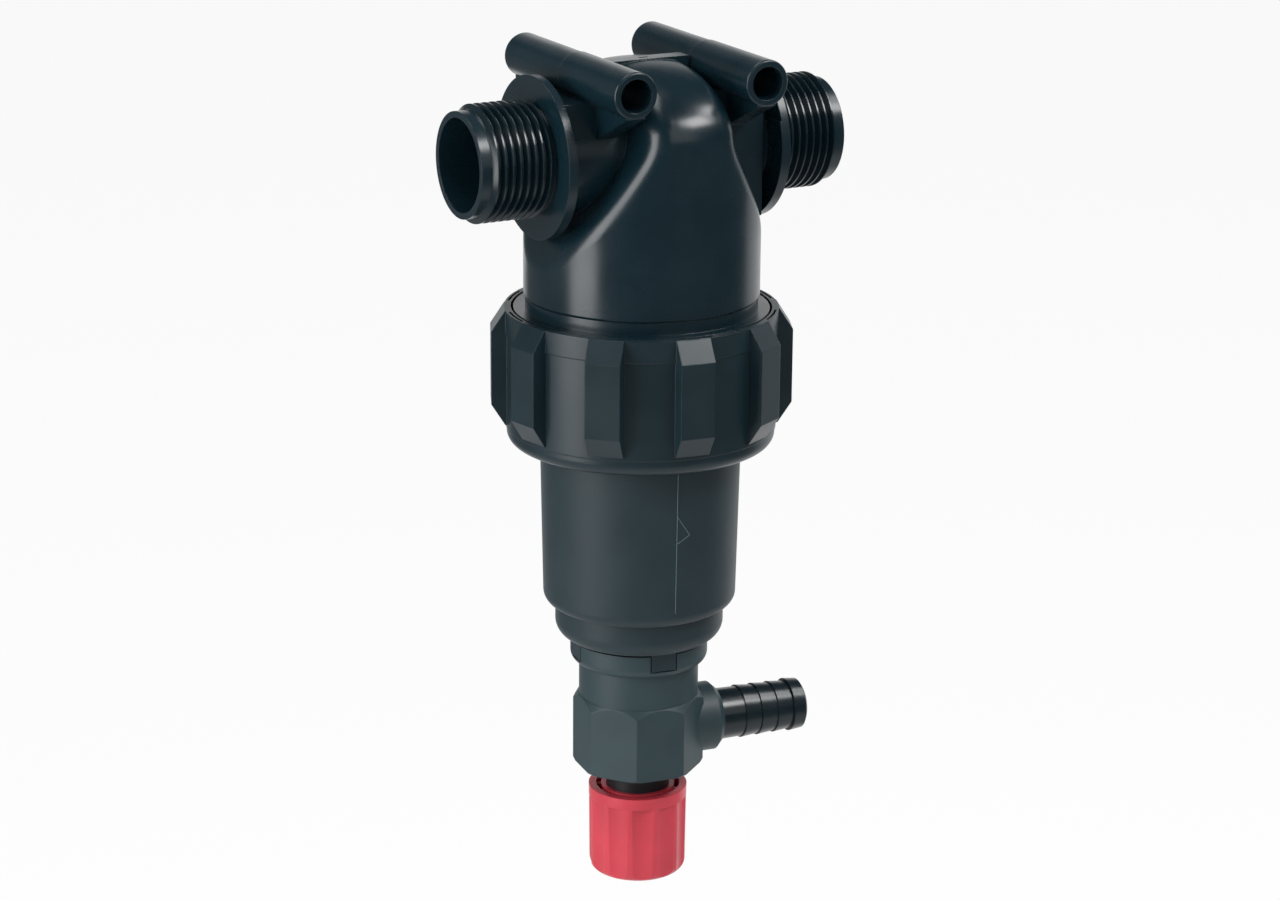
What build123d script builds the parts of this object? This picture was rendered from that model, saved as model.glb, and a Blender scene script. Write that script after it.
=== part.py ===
from build123d import *
import math
import os

# Self-cleaning inline filter, in millimetres.
# The origin is on the body axis, midway along the two bolt tubes and at their height.
# X runs along the pipe, Y along the bolt tubes, and Z up the body axis.

# Bolt tubes
tube_spacing = 41.0
tube_diameter = 13.1
tube_bore = 9.4
tube_length = 68.6
tube_edge = 0.7
tube_rear_step = 0.25
port_drop = 22.2

# Pipe ports
port_reach = 57.5
port_bore = 26.4
thread_diameter = 33.25
thread_lead_diameter = 30.0
thread_lead_length = 3.2
flange_diameter = 46.2
flange_thickness = 2.9
flange_reach = 35.0
flange_step = 0.5
flange_step_height = 8.0
neck_start = 10.0
neck_diameter = 35.0
neck_bite = 3.0

# Webs under the bolt tubes
web_thickness = 5.8
web_inset = 17.5
web_foot_width = 32.0
web_foot_height = 7.0
web_tip_bite = 0.1

# Head body
body_diameter = 67.8
dome_shoulder = 6.5
dome_height = 18.6
flank_width = 13.4
flank_bend_rise = 9.0
flank_axis_width = 16.4
flank_mid_width = 23.5
flank_mid_drop = 11.4
flank_end = 34.0
flank_foot_direction = (0.35, 0, -0.94)
flank_blend = 7.0
cap_length = 26.0
cap_width = 5.0
cap_height = 0.3
cap_depth = 3.0
gate_pit_length = 2.6
gate_pit_width = 1.2
gate_pit_depth = 0.8
body_skirt_drop = 43.0
body_skirt_round = 0.8
body_neck_relief = 0.45
ledge_drop = 46.6
ledge_step = 0.8
ledge_thickness = 3.4
skirt_wall = 5.0
skirt_inner_step = 4.2
skirt_drop = 74.2

# Squared duct behind the outlet flange
duct_half_width = 17.0
duct_drop = 19.5
duct_neck_diameter = 30.0

# Flat faces that divide the head moulding into nodes
port_cut_gap = 1.0
duct_cut_gap = 1.0
tube_cut_gap = 0.4
skirt_cut_drop = 24.0

# Water ways in the head
downpipe_bore = 20.0
downpipe_diameter = 26.0
downpipe_drop = 54.0
annulus_roof_drop = 31.0
annulus_roof_round = 3.0
inlet_end = 2.0
outlet_slot_start = 12.6
outlet_slot_end = 20.0
outlet_slot_width = 21.0

# Ring nut
nut_clock = -6.6
nut_top_drop = 46.5
nut_height = 40.0
nut_wall = 1.6
nut_band_step = 0.35
nut_band_height = 6.5
nut_mouth_clearance = 0.7
nut_thread_clearance = 0.25
nut_mouth_depth = 3.9
nut_bottom_round = 3.5
nut_bottom_band = 5.0
nut_band_relief = 0.3
nut_rib_count = 10
nut_rib_width = 10.2
nut_rib_height = 4.2
nut_rib_root_step = 0.2
nut_rib_bite = 1.1
nut_rib_slope = 6.2
nut_rib_length = 34.0
nut_slot_width = 0.7
nut_slot_depth = 1.6
nut_slot_inset = 0.6
nut_slot_end_gap = 2.6

# Bowl
group_clock = -6.6
bowl_flange_clearance = 0.3
bowl_flange_thickness = 6.0
bowl_spigot_height = 8.5
bowl_spigot_clearance = 0.15
bowl_top_diameter = 58.6
bowl_taper = 2.3
bowl_bottom_drop = 135.65
bowl_corner = 3.5
bowl_wall = 2.8
bowl_fit = 0.35
bowl_cup_step = 6.9
bowl_cup_corner = 5.0
bowl_cup_drop = 146.2
bowl_floor = 4.0
bowl_hole = 30.6
lug_count = 4
lug_width = 7.6
lug_length = 5.4
lug_inner = 17.9
lug_outer = 19.9
lug_bite = 1.0
bowl_groove_depth = 2.55
bowl_groove_margin = 0.3

# Cartridge
cartridge_diameter = 44.0
cartridge_fit = 0.15
mesh_thickness = 0.5
cartridge_hoop = 2.2
cartridge_collar = 6.0
cartridge_bar_width = 3.0
cartridge_bar_count = 6
cartridge_hoop_count = 4
gasket_thickness = 2.0

# Drain valve body
valve_neck_diameter = 29.6
valve_neck_rise = 12.0
valve_flange_diameter = 40.5
valve_flange_gap = 0.6
valve_flange_thickness = 7.3
valve_flange_round = 3.0
valve_notch_clearance = 0.3
valve_waist_diameter = 35.3
valve_waist_height = 10.5
octagon_flats = 35.8
octagon_height = 22.1
octagon_chamfer = 1.5
octagon_shoulder = 0.15
octagon_bottom_chamfer = 0.7
valve_chamber = 22.0
valve_seat_bore = 14.0
valve_seat_drop = 19.0
valve_seat_thickness = 3.0
valve_ring_middle = 33.2
valve_ring_section = 1.9
outlet_boss_diameter = 20.6
outlet_boss_reach = 22.8
outlet_boss_nose = 1.7
outlet_boss_nose_length = 1.8
lock_nut_margin = 12.4
lock_nut_height = 5.5

# Hose tail
tail_reach = 52.4
tail_root_diameter = 15.4
tail_tip_diameter = 14.2
tail_bore = 9.0
tail_barb_count = 4
tail_barb_pitch = 5.25
tail_barb_step = 0.4
tail_end_barb_step = 0.75
tail_end_barb_length = 4.6
tail_spigot_diameter = 15.0
tail_spigot_length = 9.0
tail_lead_in = 0.8
tail_lead_step = 0.45
tail_ring_section = 1.6
tail_ring_inset = 3.0

# Bonnet, stem and knob
bonnet_diameter = 18.6
bonnet_drop = 212.0
bonnet_plug_diameter = 24.0
bonnet_plug_length = 6.0
bonnet_ring_section = 1.6
stem_ring_section = 1.6
stem_diameter = 8.0
stem_pin_diameter = 6.0
plug_diameter = 18.0
plug_thickness = 3.0
seal_thickness = 2.0
knob_diameter = 29.3
knob_low_diameter = 28.7
knob_top_drop = 193.9
knob_bottom_drop = 220.9
knob_round = 3.0
knob_wall = 1.9
knob_sleeve_wall = 1.5
knob_floor = 7.4
knob_recess_depth = 4.2
knob_recess_diameter = 13.0
knob_band = 3.4
knob_flute_count = 12
knob_flute_radius = 9.3
knob_flute_depth = 0.7
knob_rib_count = 12
knob_rib_width = 1.2
knob_rib_drop = 1.2
screw_head_diameter = 8.4
screw_head_height = 2.4
screw_diameter = 3.6
screw_length = 9.0
screw_head_round = 0.9
screw_cross_depth = 1.1
screw_cross_width = 1.0
screw_cross_share = 0.6
plug_screw_diameter = 4.0
plug_screw_head = 7.0
plug_screw_head_height = 1.5
plug_screw_reach = 8.0
plug_screw_length = 7.0
washer_diameter = 11.0
washer_thickness = 0.8

# Fits
running_gap = 0.08
seal_gap = 0.02
ring_section = 2.6
groove_margin = 0.15
seat_gap = 0.02

# How far a cutting or joining solid passes the face it meets, and how closely edges are picked
past = 1.0
near = 0.01

port_z = -port_drop

# Diameters that follow the bowl's
bowl_low_diameter = bowl_top_diameter - bowl_taper
bowl_cup_diameter = bowl_low_diameter - bowl_cup_step
lock_nut_flats = bowl_cup_diameter - lock_nut_margin
skirt_bore = bowl_top_diameter + skirt_inner_step
skirt_thread_diameter = skirt_bore + 2 * skirt_wall
ledge_diameter = skirt_thread_diameter + ledge_step
bowl_flange_diameter = skirt_thread_diameter - 2 * bowl_flange_clearance
nut_thread_bore = skirt_thread_diameter + 2 * nut_thread_clearance
nut_bore = ledge_diameter + 2 * nut_mouth_clearance
nut_diameter = nut_bore + 2 * nut_wall
nut_band_diameter = nut_diameter + 2 * nut_band_step


def below(depth):
    """Height of a level given by its depth under the pipe axis."""
    return port_z - depth


def disc(diameter, low, high, x=0.0, y=0.0):
    """A round bar standing on the body axis between two heights."""
    return Pos(x, y, (low + high) / 2) * Cylinder(diameter / 2, high - low)


def bar_x(diameter, start, end, z=0.0):
    """A round bar along X."""
    return Pos((start + end) / 2, 0, z) * Rot(0, 90, 0) * Cylinder(diameter / 2, end - start)


def turned(points):
    """A solid turned about Z from half of its section, given as radius and height."""
    outline = Polyline(*[(r, 0, z) for r, z in points], close=True)
    return revolve(make_face(outline), Axis.Z)


def ring(outer, inner, low, high):
    """A flat ring about Z."""
    return turned([(inner / 2, low), (outer / 2, low), (outer / 2, high), (inner / 2, high)])


def torus_ring(middle_diameter, section, z):
    """A round seal ring about Z."""
    face = Pos(middle_diameter / 2, 0, z) * Rot(90, 0, 0) * Circle(section / 2)
    return revolve(face, Axis.Z)


def turn_about_z(shape, angle):
    return Rot(0, 0, angle) * shape


# Levels that more than one piece uses
skirt_z = below(skirt_drop)
nut_top_z = below(nut_top_drop)
nut_bottom_z = nut_top_z - nut_height
bowl_flange_top = skirt_z - seat_gap
bowl_flange_low = bowl_flange_top - bowl_flange_thickness
bowl_bottom_z = below(bowl_bottom_drop)
cup_bottom_z = below(bowl_cup_drop)
cup_floor_z = cup_bottom_z + bowl_floor
valve_flange_top = cup_bottom_z - valve_flange_gap
valve_flange_low = valve_flange_top - valve_flange_thickness
octagon_top = valve_flange_low - valve_waist_height
octagon_low = octagon_top - octagon_height
nut_lip_z = bowl_flange_low - seat_gap
bowl_ring_z = bowl_flange_top + bowl_spigot_height / 2
valve_ring_z = cup_bottom_z - seal_gap - valve_ring_section / 2
valve_seat_z = valve_flange_top - valve_seat_drop
bonnet_top_z = octagon_low + bonnet_plug_length
bonnet_ring_z = octagon_low + bonnet_plug_length / 2
stem_ring_z = bonnet_top_z - bonnet_plug_length / 2
tail_root = outlet_boss_reach + outlet_boss_nose_length + seat_gap
tail_ring_x = tail_root - tail_ring_inset
tail_z = (octagon_top + octagon_low) / 2
knob_top_z = below(knob_top_drop)
knob_bottom_z = below(knob_bottom_drop)
knob_floor_top = knob_bottom_z + knob_floor
knob_recess_z = knob_bottom_z + knob_recess_depth
bonnet_low_z = below(bonnet_drop)
valve_neck_top = cup_floor_z + valve_neck_rise


def head_body():
    """Domed body with a hollow flank on each side, blended into its round skirt."""
    r = body_diameter / 2
    shoulder = port_z + dome_shoulder
    top = shoulder + dome_height
    skirt = below(body_skirt_drop)
    dome_plane = Plane((0, 0, shoulder), x_dir=(1, 0, 0), z_dir=(0, -1, 0))
    arc = Edge.make_ellipse(r, dome_height, dome_plane, 0, 90)
    sides = Polyline((0, 0, top), (0, 0, skirt), (r, 0, skirt), (r, 0, shoulder))
    dome = revolve(make_face(Curve() + [arc, sides]), Axis.Z)
    bend = (flank_width, 0, port_z + flank_bend_rise)
    level = (flank_axis_width, 0, port_z)
    middle = (flank_mid_width, 0, below(flank_mid_drop))
    foot = (r + past, 0, below(flank_end))
    flare = Spline(bend, level, middle, foot, tangents=[(0, 0, -1), flank_foot_direction])
    upper = Polyline((0, 0, top + past), (flank_width, 0, top + past), bend)
    lower = Polyline(foot, (r + past, 0, skirt), (0, 0, skirt), (0, 0, top + past))
    half = make_face(Curve() + [upper, flare, lower])
    block = extrude(half, amount=r + past, dir=(0, 1, 0), both=True)
    block += mirror(block, about=Plane.YZ)
    body = dome & block
    lowest = below(flank_end) + 2 * past
    rims = [e for e in body.edges() if abs(e.center().Y) < r and e.center().Z > lowest]
    rims = [e for e in rims if abs(e.center().X) > 2 * past]
    return body, rims


def both_ends(shape):
    """The shape with its mirror image at the other port."""
    return shape + mirror(shape, about=Plane.YZ)


def bolt_tube():
    """One cross tube, a little slimmer behind the mould's parting plane."""
    half = tube_length / 2
    front = Pos(0, -half / 2, 0) * Rot(90, 0, 0) * Cylinder(tube_diameter / 2, half)
    slim = tube_diameter / 2 - tube_rear_step
    rear = Pos(0, half / 2, 0) * Rot(90, 0, 0) * Cylinder(slim, half)
    tube = front + rear
    ends = [e for e in tube.edges() if abs(abs(e.center().Y) - half) < near]
    return Pos(-tube_spacing / 2, 0, 0) * fillet(ends, tube_edge)


def tube_web():
    """Web under a bolt tube, its foot on the neck and its ends rising to the tube's ends."""
    foot = web_foot_width / 2
    foot_z = port_z + web_foot_height
    tip = tube_length / 2 - tube_edge / 2
    tip_z = -tube_diameter / 2 + web_tip_bite
    outline = Polyline(
        (0, -tip, 0),
        (0, -tip, tip_z),
        (0, -foot, foot_z),
        (0, foot, foot_z),
        (0, tip, tip_z),
        (0, tip, 0),
        close=True,
    )
    web = extrude(make_face(outline), amount=web_thickness, dir=(-1, 0, 0))
    return Pos(-web_inset, 0, 0) * web


def neck_saddle():
    """Squared shoulder over the inlet neck, which carries the web and the bolt tube."""
    start = flank_width - neck_bite
    end = flange_reach - flange_thickness / 2
    top = port_z + neck_diameter / 2
    height = top - port_z - web_foot_height
    middle = Pos(-(start + end) / 2, 0, top - height / 2)
    return middle * Box(end - start, web_foot_width, height)


def duct_block():
    """Squared duct that fills the outlet flank out to the round of the body."""
    start = flank_width - neck_bite
    top = port_z + neck_diameter / 2
    low = below(duct_drop)
    length = body_diameter / 2 + past - start
    middle = Pos(start + length / 2, 0, (top + low) / 2)
    block = middle * Box(length, 2 * duct_half_width, top - low)
    return block & disc(body_diameter, low - past, top + past)


def port_side(neck_size):
    """Neck, flange and threaded spigot of the port on the -X side, without its bore."""
    neck = bar_x(neck_size, -flange_reach, -neck_start, port_z)
    flange = bar_x(flange_diameter, -flange_reach, -flange_reach + flange_thickness, port_z)
    step = Pos(
        -flange_reach + flange_thickness,
        0,
        port_z + flange_step_height + flange_diameter / 2,
    )
    flange -= step * Box(flange_step * 2, flange_diameter, flange_diameter)
    thread = bar_x(thread_diameter, -port_reach + thread_lead_length, -flange_reach, port_z)
    lead = bar_x(thread_lead_diameter, -port_reach, -port_reach + thread_lead_length, port_z)
    return neck + flange + thread + lead


def head_moulding():
    """Head moulding with two ports, its dividing water ways and the bolt tubes."""
    body, rims = head_body()
    body = fillet(rims, flank_blend)
    skirt_edge = [e for e in body.edges() if abs(e.center().Z - below(body_skirt_drop)) < near]
    body = fillet(skirt_edge, body_skirt_round)
    top = port_z + dome_shoulder + dome_height
    land = Pos(0, 0, top - cap_depth / 2 + cap_height) * Box(cap_length, cap_width, cap_depth)
    pit_middle = Pos(0, 0, top + cap_height - gate_pit_depth / 2)
    pit = pit_middle * Box(gate_pit_length, gate_pit_width, gate_pit_depth)
    relief = disc(body_diameter - 2 * body_neck_relief, below(ledge_drop), below(body_skirt_drop))
    ledge = disc(ledge_diameter, below(ledge_drop + ledge_thickness), below(ledge_drop))
    skirt = disc(skirt_thread_diameter, skirt_z, below(ledge_drop + ledge_thickness))
    head = body + land + relief + ledge + skirt
    head += port_side(neck_diameter) + neck_saddle()
    head += mirror(port_side(duct_neck_diameter), about=Plane.YZ) + duct_block()
    head += both_ends(tube_web() + bolt_tube())
    head -= pit
    for side in (-1, 1):
        bolt_way = Rot(90, 0, 0) * Cylinder(tube_bore / 2, tube_length + 2 * past)
        head -= Pos(side * tube_spacing / 2, 0, 0) * bolt_way
    roof = below(annulus_roof_drop)
    cavity = disc(skirt_bore, skirt_z, roof)
    roof_edge = [e for e in cavity.edges() if abs(e.center().Z - roof) < near]
    cavity = fillet(roof_edge, annulus_roof_round)
    cavity -= disc(downpipe_diameter, below(downpipe_drop), roof)
    head -= cavity
    inlet = bar_x(port_bore, -port_reach, inlet_end, port_z)
    inlet += disc(downpipe_bore, below(downpipe_drop), port_z)
    outlet = bar_x(port_bore, outlet_slot_start, port_reach, port_z)
    slot_middle = Pos((outlet_slot_start + outlet_slot_end) / 2, 0, (port_z + roof) / 2)
    slot_length = outlet_slot_end - outlet_slot_start
    outlet += slot_middle * Box(slot_length, outlet_slot_width, port_z - roof)
    return head - inlet - outlet


def between(low_x, high_x, low_z, high_z):
    """A block between two X and two Z levels, wider than the whole filter along Y."""
    middle = Pos((low_x + high_x) / 2, 0, (low_z + high_z) / 2)
    return middle * Box(high_x - low_x, 2 * tube_length, high_z - low_z)


def head_nodes():
    """The head moulding divided by flat faces into seven nodes that touch without overlap."""
    middle = head_moulding()
    cut_z = below(skirt_cut_drop)
    port_x = flange_reach - flange_thickness - port_cut_gap
    half = tube_diameter / 2 + tube_cut_gap
    inner_x = tube_spacing / 2 - half
    outer_x = tube_spacing / 2 + half
    far = port_reach + past
    regions = {
        "head_skirt": between(-far, far, skirt_z - past, cut_z),
        "inlet_port": between(-far, -port_x, cut_z, half),
        "outlet_port": between(port_x, far, cut_z, half),
        "left_bolt_tube": between(-outer_x, -inner_x, -half, half),
        "right_bolt_tube": between(inner_x, outer_x, -half, half),
        "outlet_duct": between(outlet_slot_start - duct_cut_gap, port_x, cut_z, half),
    }
    nodes = {}
    for name, region in regions.items():
        nodes[name] = middle & region
        middle -= region
    nodes["filter_head"] = middle
    return nodes


def ring_nut():
    """Ribbed clamp nut that draws the bowl flange up against the head."""
    r = nut_diameter / 2
    band_r = nut_band_diameter / 2
    lip_r = bowl_top_diameter / 2 + bowl_fit
    thread_r = nut_thread_bore / 2
    mouth_r = nut_bore / 2
    low_r = r - nut_band_relief
    section = [
        (lip_r, nut_bottom_z),
        (low_r, nut_bottom_z),
        (low_r, nut_bottom_z + nut_bottom_band),
        (r, nut_bottom_z + nut_bottom_band),
        (r, nut_top_z - nut_band_height),
        (band_r, nut_top_z - nut_band_height),
        (band_r, nut_top_z),
        (mouth_r, nut_top_z),
        (mouth_r, nut_top_z - nut_mouth_depth),
        (thread_r, nut_top_z - nut_mouth_depth),
        (thread_r, nut_lip_z),
        (lip_r, nut_lip_z),
    ]
    shell = turned(section)
    bottom = [e for e in shell.edges() if abs(e.center().Z - nut_bottom_z) < near]
    bottom = [e for e in bottom if e.bounding_box().size.X > 2 * low_r - past]
    shell = fillet(bottom, nut_bottom_round)
    slot_outer = nut_band_diameter - 2 * nut_slot_inset
    slot_inner = slot_outer - 2 * nut_slot_width
    slots = ring(slot_outer, slot_inner, nut_top_z - nut_slot_depth, nut_top_z + past)
    ribs = []
    for k in range(nut_rib_count):
        angle = 360 / nut_rib_count * k - 90
        blank = Pos(r, 0, nut_top_z) * Box(r, nut_rib_width + nut_slot_end_gap, nut_height)
        slots -= turn_about_z(blank, angle)
        ribs.append(turn_about_z(nut_rib(), angle))
    return turn_about_z(shell + ribs - slots, nut_clock)


def nut_rib():
    """One grip rib with sloping ends, on the +X side."""
    low = nut_top_z - nut_rib_length
    inner = nut_diameter / 2 - nut_rib_bite
    root = nut_diameter / 2 + nut_rib_root_step
    reach = nut_diameter / 2 + nut_rib_height
    outline = Polyline(
        (inner, 0, nut_top_z),
        (root, 0, nut_top_z),
        (reach, 0, nut_top_z - nut_rib_slope),
        (reach, 0, low + nut_rib_slope),
        (root, 0, low),
        (inner, 0, low),
        close=True,
    )
    return extrude(make_face(outline), amount=nut_rib_width / 2, both=True)


def ring_groove(outer_diameter, depth, width, z):
    """The space of a seal groove cut into a round outer face."""
    return ring(outer_diameter + 2 * past, outer_diameter - 2 * depth, z - width / 2, z + width / 2)


def bowl():
    """Tapered bowl with its clamp flange, sealing spigot, cup and key lugs."""
    top_r = bowl_top_diameter / 2
    low_r = bowl_low_diameter / 2
    cup_r = bowl_cup_diameter / 2
    spigot_r = skirt_bore / 2 - bowl_spigot_clearance
    flange_r = bowl_flange_diameter / 2
    outer = turned([
        (0, cup_bottom_z),
        (cup_r, cup_bottom_z),
        (cup_r, bowl_bottom_z),
        (low_r, bowl_bottom_z),
        (top_r, bowl_flange_low),
        (flange_r, bowl_flange_low),
        (flange_r, bowl_flange_top),
        (spigot_r, bowl_flange_top),
        (spigot_r, bowl_flange_top + bowl_spigot_height),
        (0, bowl_flange_top + bowl_spigot_height),
    ])
    corner = [e for e in outer.edges() if abs(e.center().Z - bowl_bottom_z) < near]
    corner = [e for e in corner if e.bounding_box().size.X > 2 * cup_r + past]
    outer = fillet(corner, bowl_corner)
    cup_edge = [e for e in outer.edges() if abs(e.center().Z - cup_bottom_z) < near]
    outer = fillet(cup_edge, bowl_cup_corner)
    step_z = bowl_bottom_z + bowl_wall
    inner = turned([
        (0, cup_floor_z),
        (cup_r - bowl_wall, cup_floor_z),
        (cup_r - bowl_wall, step_z),
        (low_r - bowl_wall, step_z),
        (top_r - bowl_wall, bowl_flange_low),
        (top_r - bowl_wall, bowl_flange_top + bowl_spigot_height + past),
        (0, bowl_flange_top + bowl_spigot_height + past),
    ])
    shell = outer - inner - disc(bowl_hole, cup_bottom_z - past, cup_floor_z + past)
    shell -= ring_groove(2 * spigot_r, bowl_groove_depth, ring_section + 2 * bowl_groove_margin, bowl_ring_z)
    lug_middle = (lug_inner + lug_outer) / 2
    lug_height = lug_length + lug_bite
    lug = Box(lug_outer - lug_inner, lug_width, lug_height)
    lug = Pos(lug_middle, 0, cup_bottom_z + lug_bite - lug_height / 2) * lug
    for k in range(lug_count):
        shell += turn_about_z(lug, 360 / lug_count * k)
    return turn_about_z(shell, group_clock)


def bowl_o_ring():
    middle = skirt_bore / 2 - ring_section / 2 - seal_gap
    return torus_ring(2 * middle, ring_section, bowl_ring_z)


def cartridge_frame():
    """Moulded cage that holds the filter mesh between two collars."""
    outer_r = cartridge_diameter / 2
    inner_r = outer_r - cartridge_hoop
    pipe_r = downpipe_bore / 2
    sleeve_r = downpipe_diameter / 2 + cartridge_fit
    seat_z = below(downpipe_drop) - gasket_thickness - 2 * seat_gap
    low_z = valve_neck_top + gasket_thickness + 2 * seat_gap
    window_top = seat_z - cartridge_collar / 2
    window_low = low_z + cartridge_collar
    cage = turned([
        (pipe_r, low_z),
        (outer_r, low_z),
        (outer_r, seat_z + cartridge_collar),
        (sleeve_r, seat_z + cartridge_collar),
        (sleeve_r, seat_z),
        (pipe_r, seat_z),
        (pipe_r, window_top),
        (inner_r, window_top),
        (inner_r, window_low),
        (pipe_r, window_low),
    ])
    pitch = (window_top - window_low + cartridge_hoop) / (cartridge_hoop_count + 1)
    width = cartridge_diameter * math.sin(math.pi / cartridge_bar_count) - cartridge_bar_width
    for k in range(cartridge_hoop_count + 1):
        low = window_low + k * pitch
        window = Pos(0, 0, low + (pitch - cartridge_hoop) / 2)
        window *= Box(2 * cartridge_diameter, width, pitch - cartridge_hoop)
        for turn in range(cartridge_bar_count // 2):
            cage -= turn_about_z(window, 360 / cartridge_bar_count * turn)
    return turn_about_z(cage, group_clock)


def cartridge_mesh():
    """Woven mesh sleeve inside the cage, as one thin wall."""
    outer = cartridge_diameter - 2 * cartridge_hoop - 2 * seat_gap
    seat_z = below(downpipe_drop) - gasket_thickness - 2 * seat_gap
    high = seat_z - cartridge_collar / 2 - seat_gap
    low = valve_neck_top + gasket_thickness + cartridge_collar + 3 * seat_gap
    return ring(outer, outer - 2 * mesh_thickness, low, high)


def cartridge_top_gasket():
    high = below(downpipe_drop) - seat_gap
    return ring(downpipe_diameter, downpipe_bore, high - gasket_thickness, high)


def cartridge_bottom_gasket():
    low = valve_neck_top + seat_gap
    return ring(valve_neck_diameter, valve_chamber, low, low + gasket_thickness)


def octagon_block():
    """Eight-sided grip, with corners turned off by a cone at each end."""
    corner_r = octagon_flats / 2 / math.cos(math.radians(22.5))
    block = extrude(RegularPolygon(corner_r, 8, rotation=22.5), amount=octagon_height)
    block = Pos(0, 0, octagon_low) * block
    top_r = valve_waist_diameter / 2 + octagon_shoulder
    cone_drop = (corner_r + past - top_r) * octagon_chamfer
    envelope = turned([
        (0, octagon_low),
        (corner_r - octagon_bottom_chamfer, octagon_low),
        (corner_r + past, octagon_low + octagon_bottom_chamfer + past),
        (corner_r + past, octagon_top - cone_drop),
        (top_r, octagon_top),
        (0, octagon_top),
    ])
    return block & envelope


def valve_body():
    """Drain valve moulding with its neck, keyed flange, octagon and outlet boss."""
    flange_r = valve_flange_diameter / 2
    neck = disc(valve_neck_diameter, valve_flange_top - past, valve_neck_top)
    flange = disc(valve_flange_diameter, valve_flange_low, valve_flange_top)
    lower = [e for e in flange.edges() if abs(e.center().Z - valve_flange_low) < near]
    flange = fillet(lower, valve_flange_round)
    waist = disc(valve_waist_diameter, octagon_top - past, valve_flange_low + past)
    nose_r = outlet_boss_diameter / 2 - outlet_boss_nose
    boss = bar_x(outlet_boss_diameter, 0, outlet_boss_reach, tail_z)
    nose_middle = outlet_boss_reach + outlet_boss_nose_length / 2
    nose = Rot(0, 90, 0) * Cone(outlet_boss_diameter / 2, nose_r, outlet_boss_nose_length)
    body = neck + flange + waist + octagon_block() + boss + Pos(nose_middle, 0, tail_z) * nose
    notch_r = lug_inner - valve_notch_clearance
    notch_height = lug_length - valve_flange_gap + valve_notch_clearance
    notch = Box(flange_r, lug_width + 2 * valve_notch_clearance, notch_height)
    notch = Pos(notch_r + flange_r / 2, 0, valve_flange_top - notch_height / 2) * notch
    for k in range(lug_count):
        body -= turn_about_z(notch, 360 / lug_count * k)
    body -= disc(valve_chamber, valve_seat_z + valve_seat_thickness, valve_neck_top + past)
    body -= disc(valve_seat_bore, valve_seat_z - past, valve_seat_z + valve_seat_thickness + past)
    body -= disc(valve_chamber, bonnet_top_z - past, valve_seat_z)
    body -= disc(bonnet_plug_diameter + 2 * seal_gap, octagon_low - past, bonnet_top_z + seat_gap)
    body -= bar_x(tail_bore, 0, outlet_boss_reach, tail_z)
    spigot_end = tail_root - tail_spigot_length - seat_gap
    body -= bar_x(tail_spigot_diameter + 2 * seal_gap, spigot_end, tail_root + past, tail_z)
    groove_r = valve_ring_middle / 2
    groove_low = valve_ring_z - valve_ring_section / 2 - seal_gap
    half_width = valve_ring_section / 2 + groove_margin
    body -= ring(2 * (groove_r + half_width), 2 * (groove_r - half_width), groove_low, cup_bottom_z)
    return turn_about_z(body, group_clock)


def valve_body_o_ring():
    return torus_ring(valve_ring_middle, valve_ring_section, valve_ring_z)


def valve_lock_nut():
    """Hexagon nut inside the cup that holds the valve body to the bowl floor."""
    corner_r = lock_nut_flats / 2 / math.cos(math.radians(30))
    low = cup_floor_z + seat_gap
    nut = Pos(0, 0, low) * extrude(RegularPolygon(corner_r, 6), amount=lock_nut_height)
    nut -= disc(valve_neck_diameter + 2 * seal_gap, low - past, low + lock_nut_height + past)
    return turn_about_z(nut, group_clock)


def hose_tail():
    """Hose tail with three fine barbs and a bolder end barb, screwed into the outlet boss."""
    end = tail_reach
    section = [(tail_root - tail_spigot_length, tail_bore / 2)]
    section.append((tail_root - tail_spigot_length, tail_spigot_diameter / 2))
    section.append((tail_root + seat_gap, tail_spigot_diameter / 2))
    root_r = tail_root_diameter / 2
    tip_r = tail_tip_diameter / 2
    section.append((tail_root + seat_gap, root_r))
    first = end - tail_end_barb_length - tail_barb_pitch * (tail_barb_count - 1)

    def core(x):
        return root_r + (tip_r - root_r) * (x - tail_root) / (end - tail_root)

    for k in range(tail_barb_count):
        x = first + k * tail_barb_pitch
        last = k == tail_barb_count - 1
        step = tail_end_barb_step if last else tail_barb_step
        section.append((x, core(x)))
        section.append((x, core(x) + step))
    section.append((end - tail_lead_in, tip_r + tail_lead_step))
    section.append((end, tip_r - tail_lead_in))
    section.append((end, tail_bore / 2))
    outline = Polyline(*[(x, 0, r) for x, r in section], close=True)
    tail = revolve(make_face(outline), Axis.X)
    groove_low = tail_ring_x - tail_ring_section / 2 - groove_margin
    groove_high = tail_ring_x + tail_ring_section / 2 + groove_margin
    groove_floor = tail_spigot_diameter - 2 * (tail_ring_section + seal_gap)
    groove = bar_x(tail_spigot_diameter + past, groove_low, groove_high)
    tail -= groove - bar_x(groove_floor, groove_low, groove_high)
    return turn_about_z(Pos(0, 0, tail_z) * tail, group_clock)


def hose_tail_o_ring():
    middle = (tail_spigot_diameter - tail_ring_section) / 2
    face = Pos(tail_ring_x, 0, middle) * Rot(90, 0, 0) * Circle(tail_ring_section / 2)
    return turn_about_z(Pos(0, 0, tail_z) * revolve(face, Axis.X), group_clock)


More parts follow.
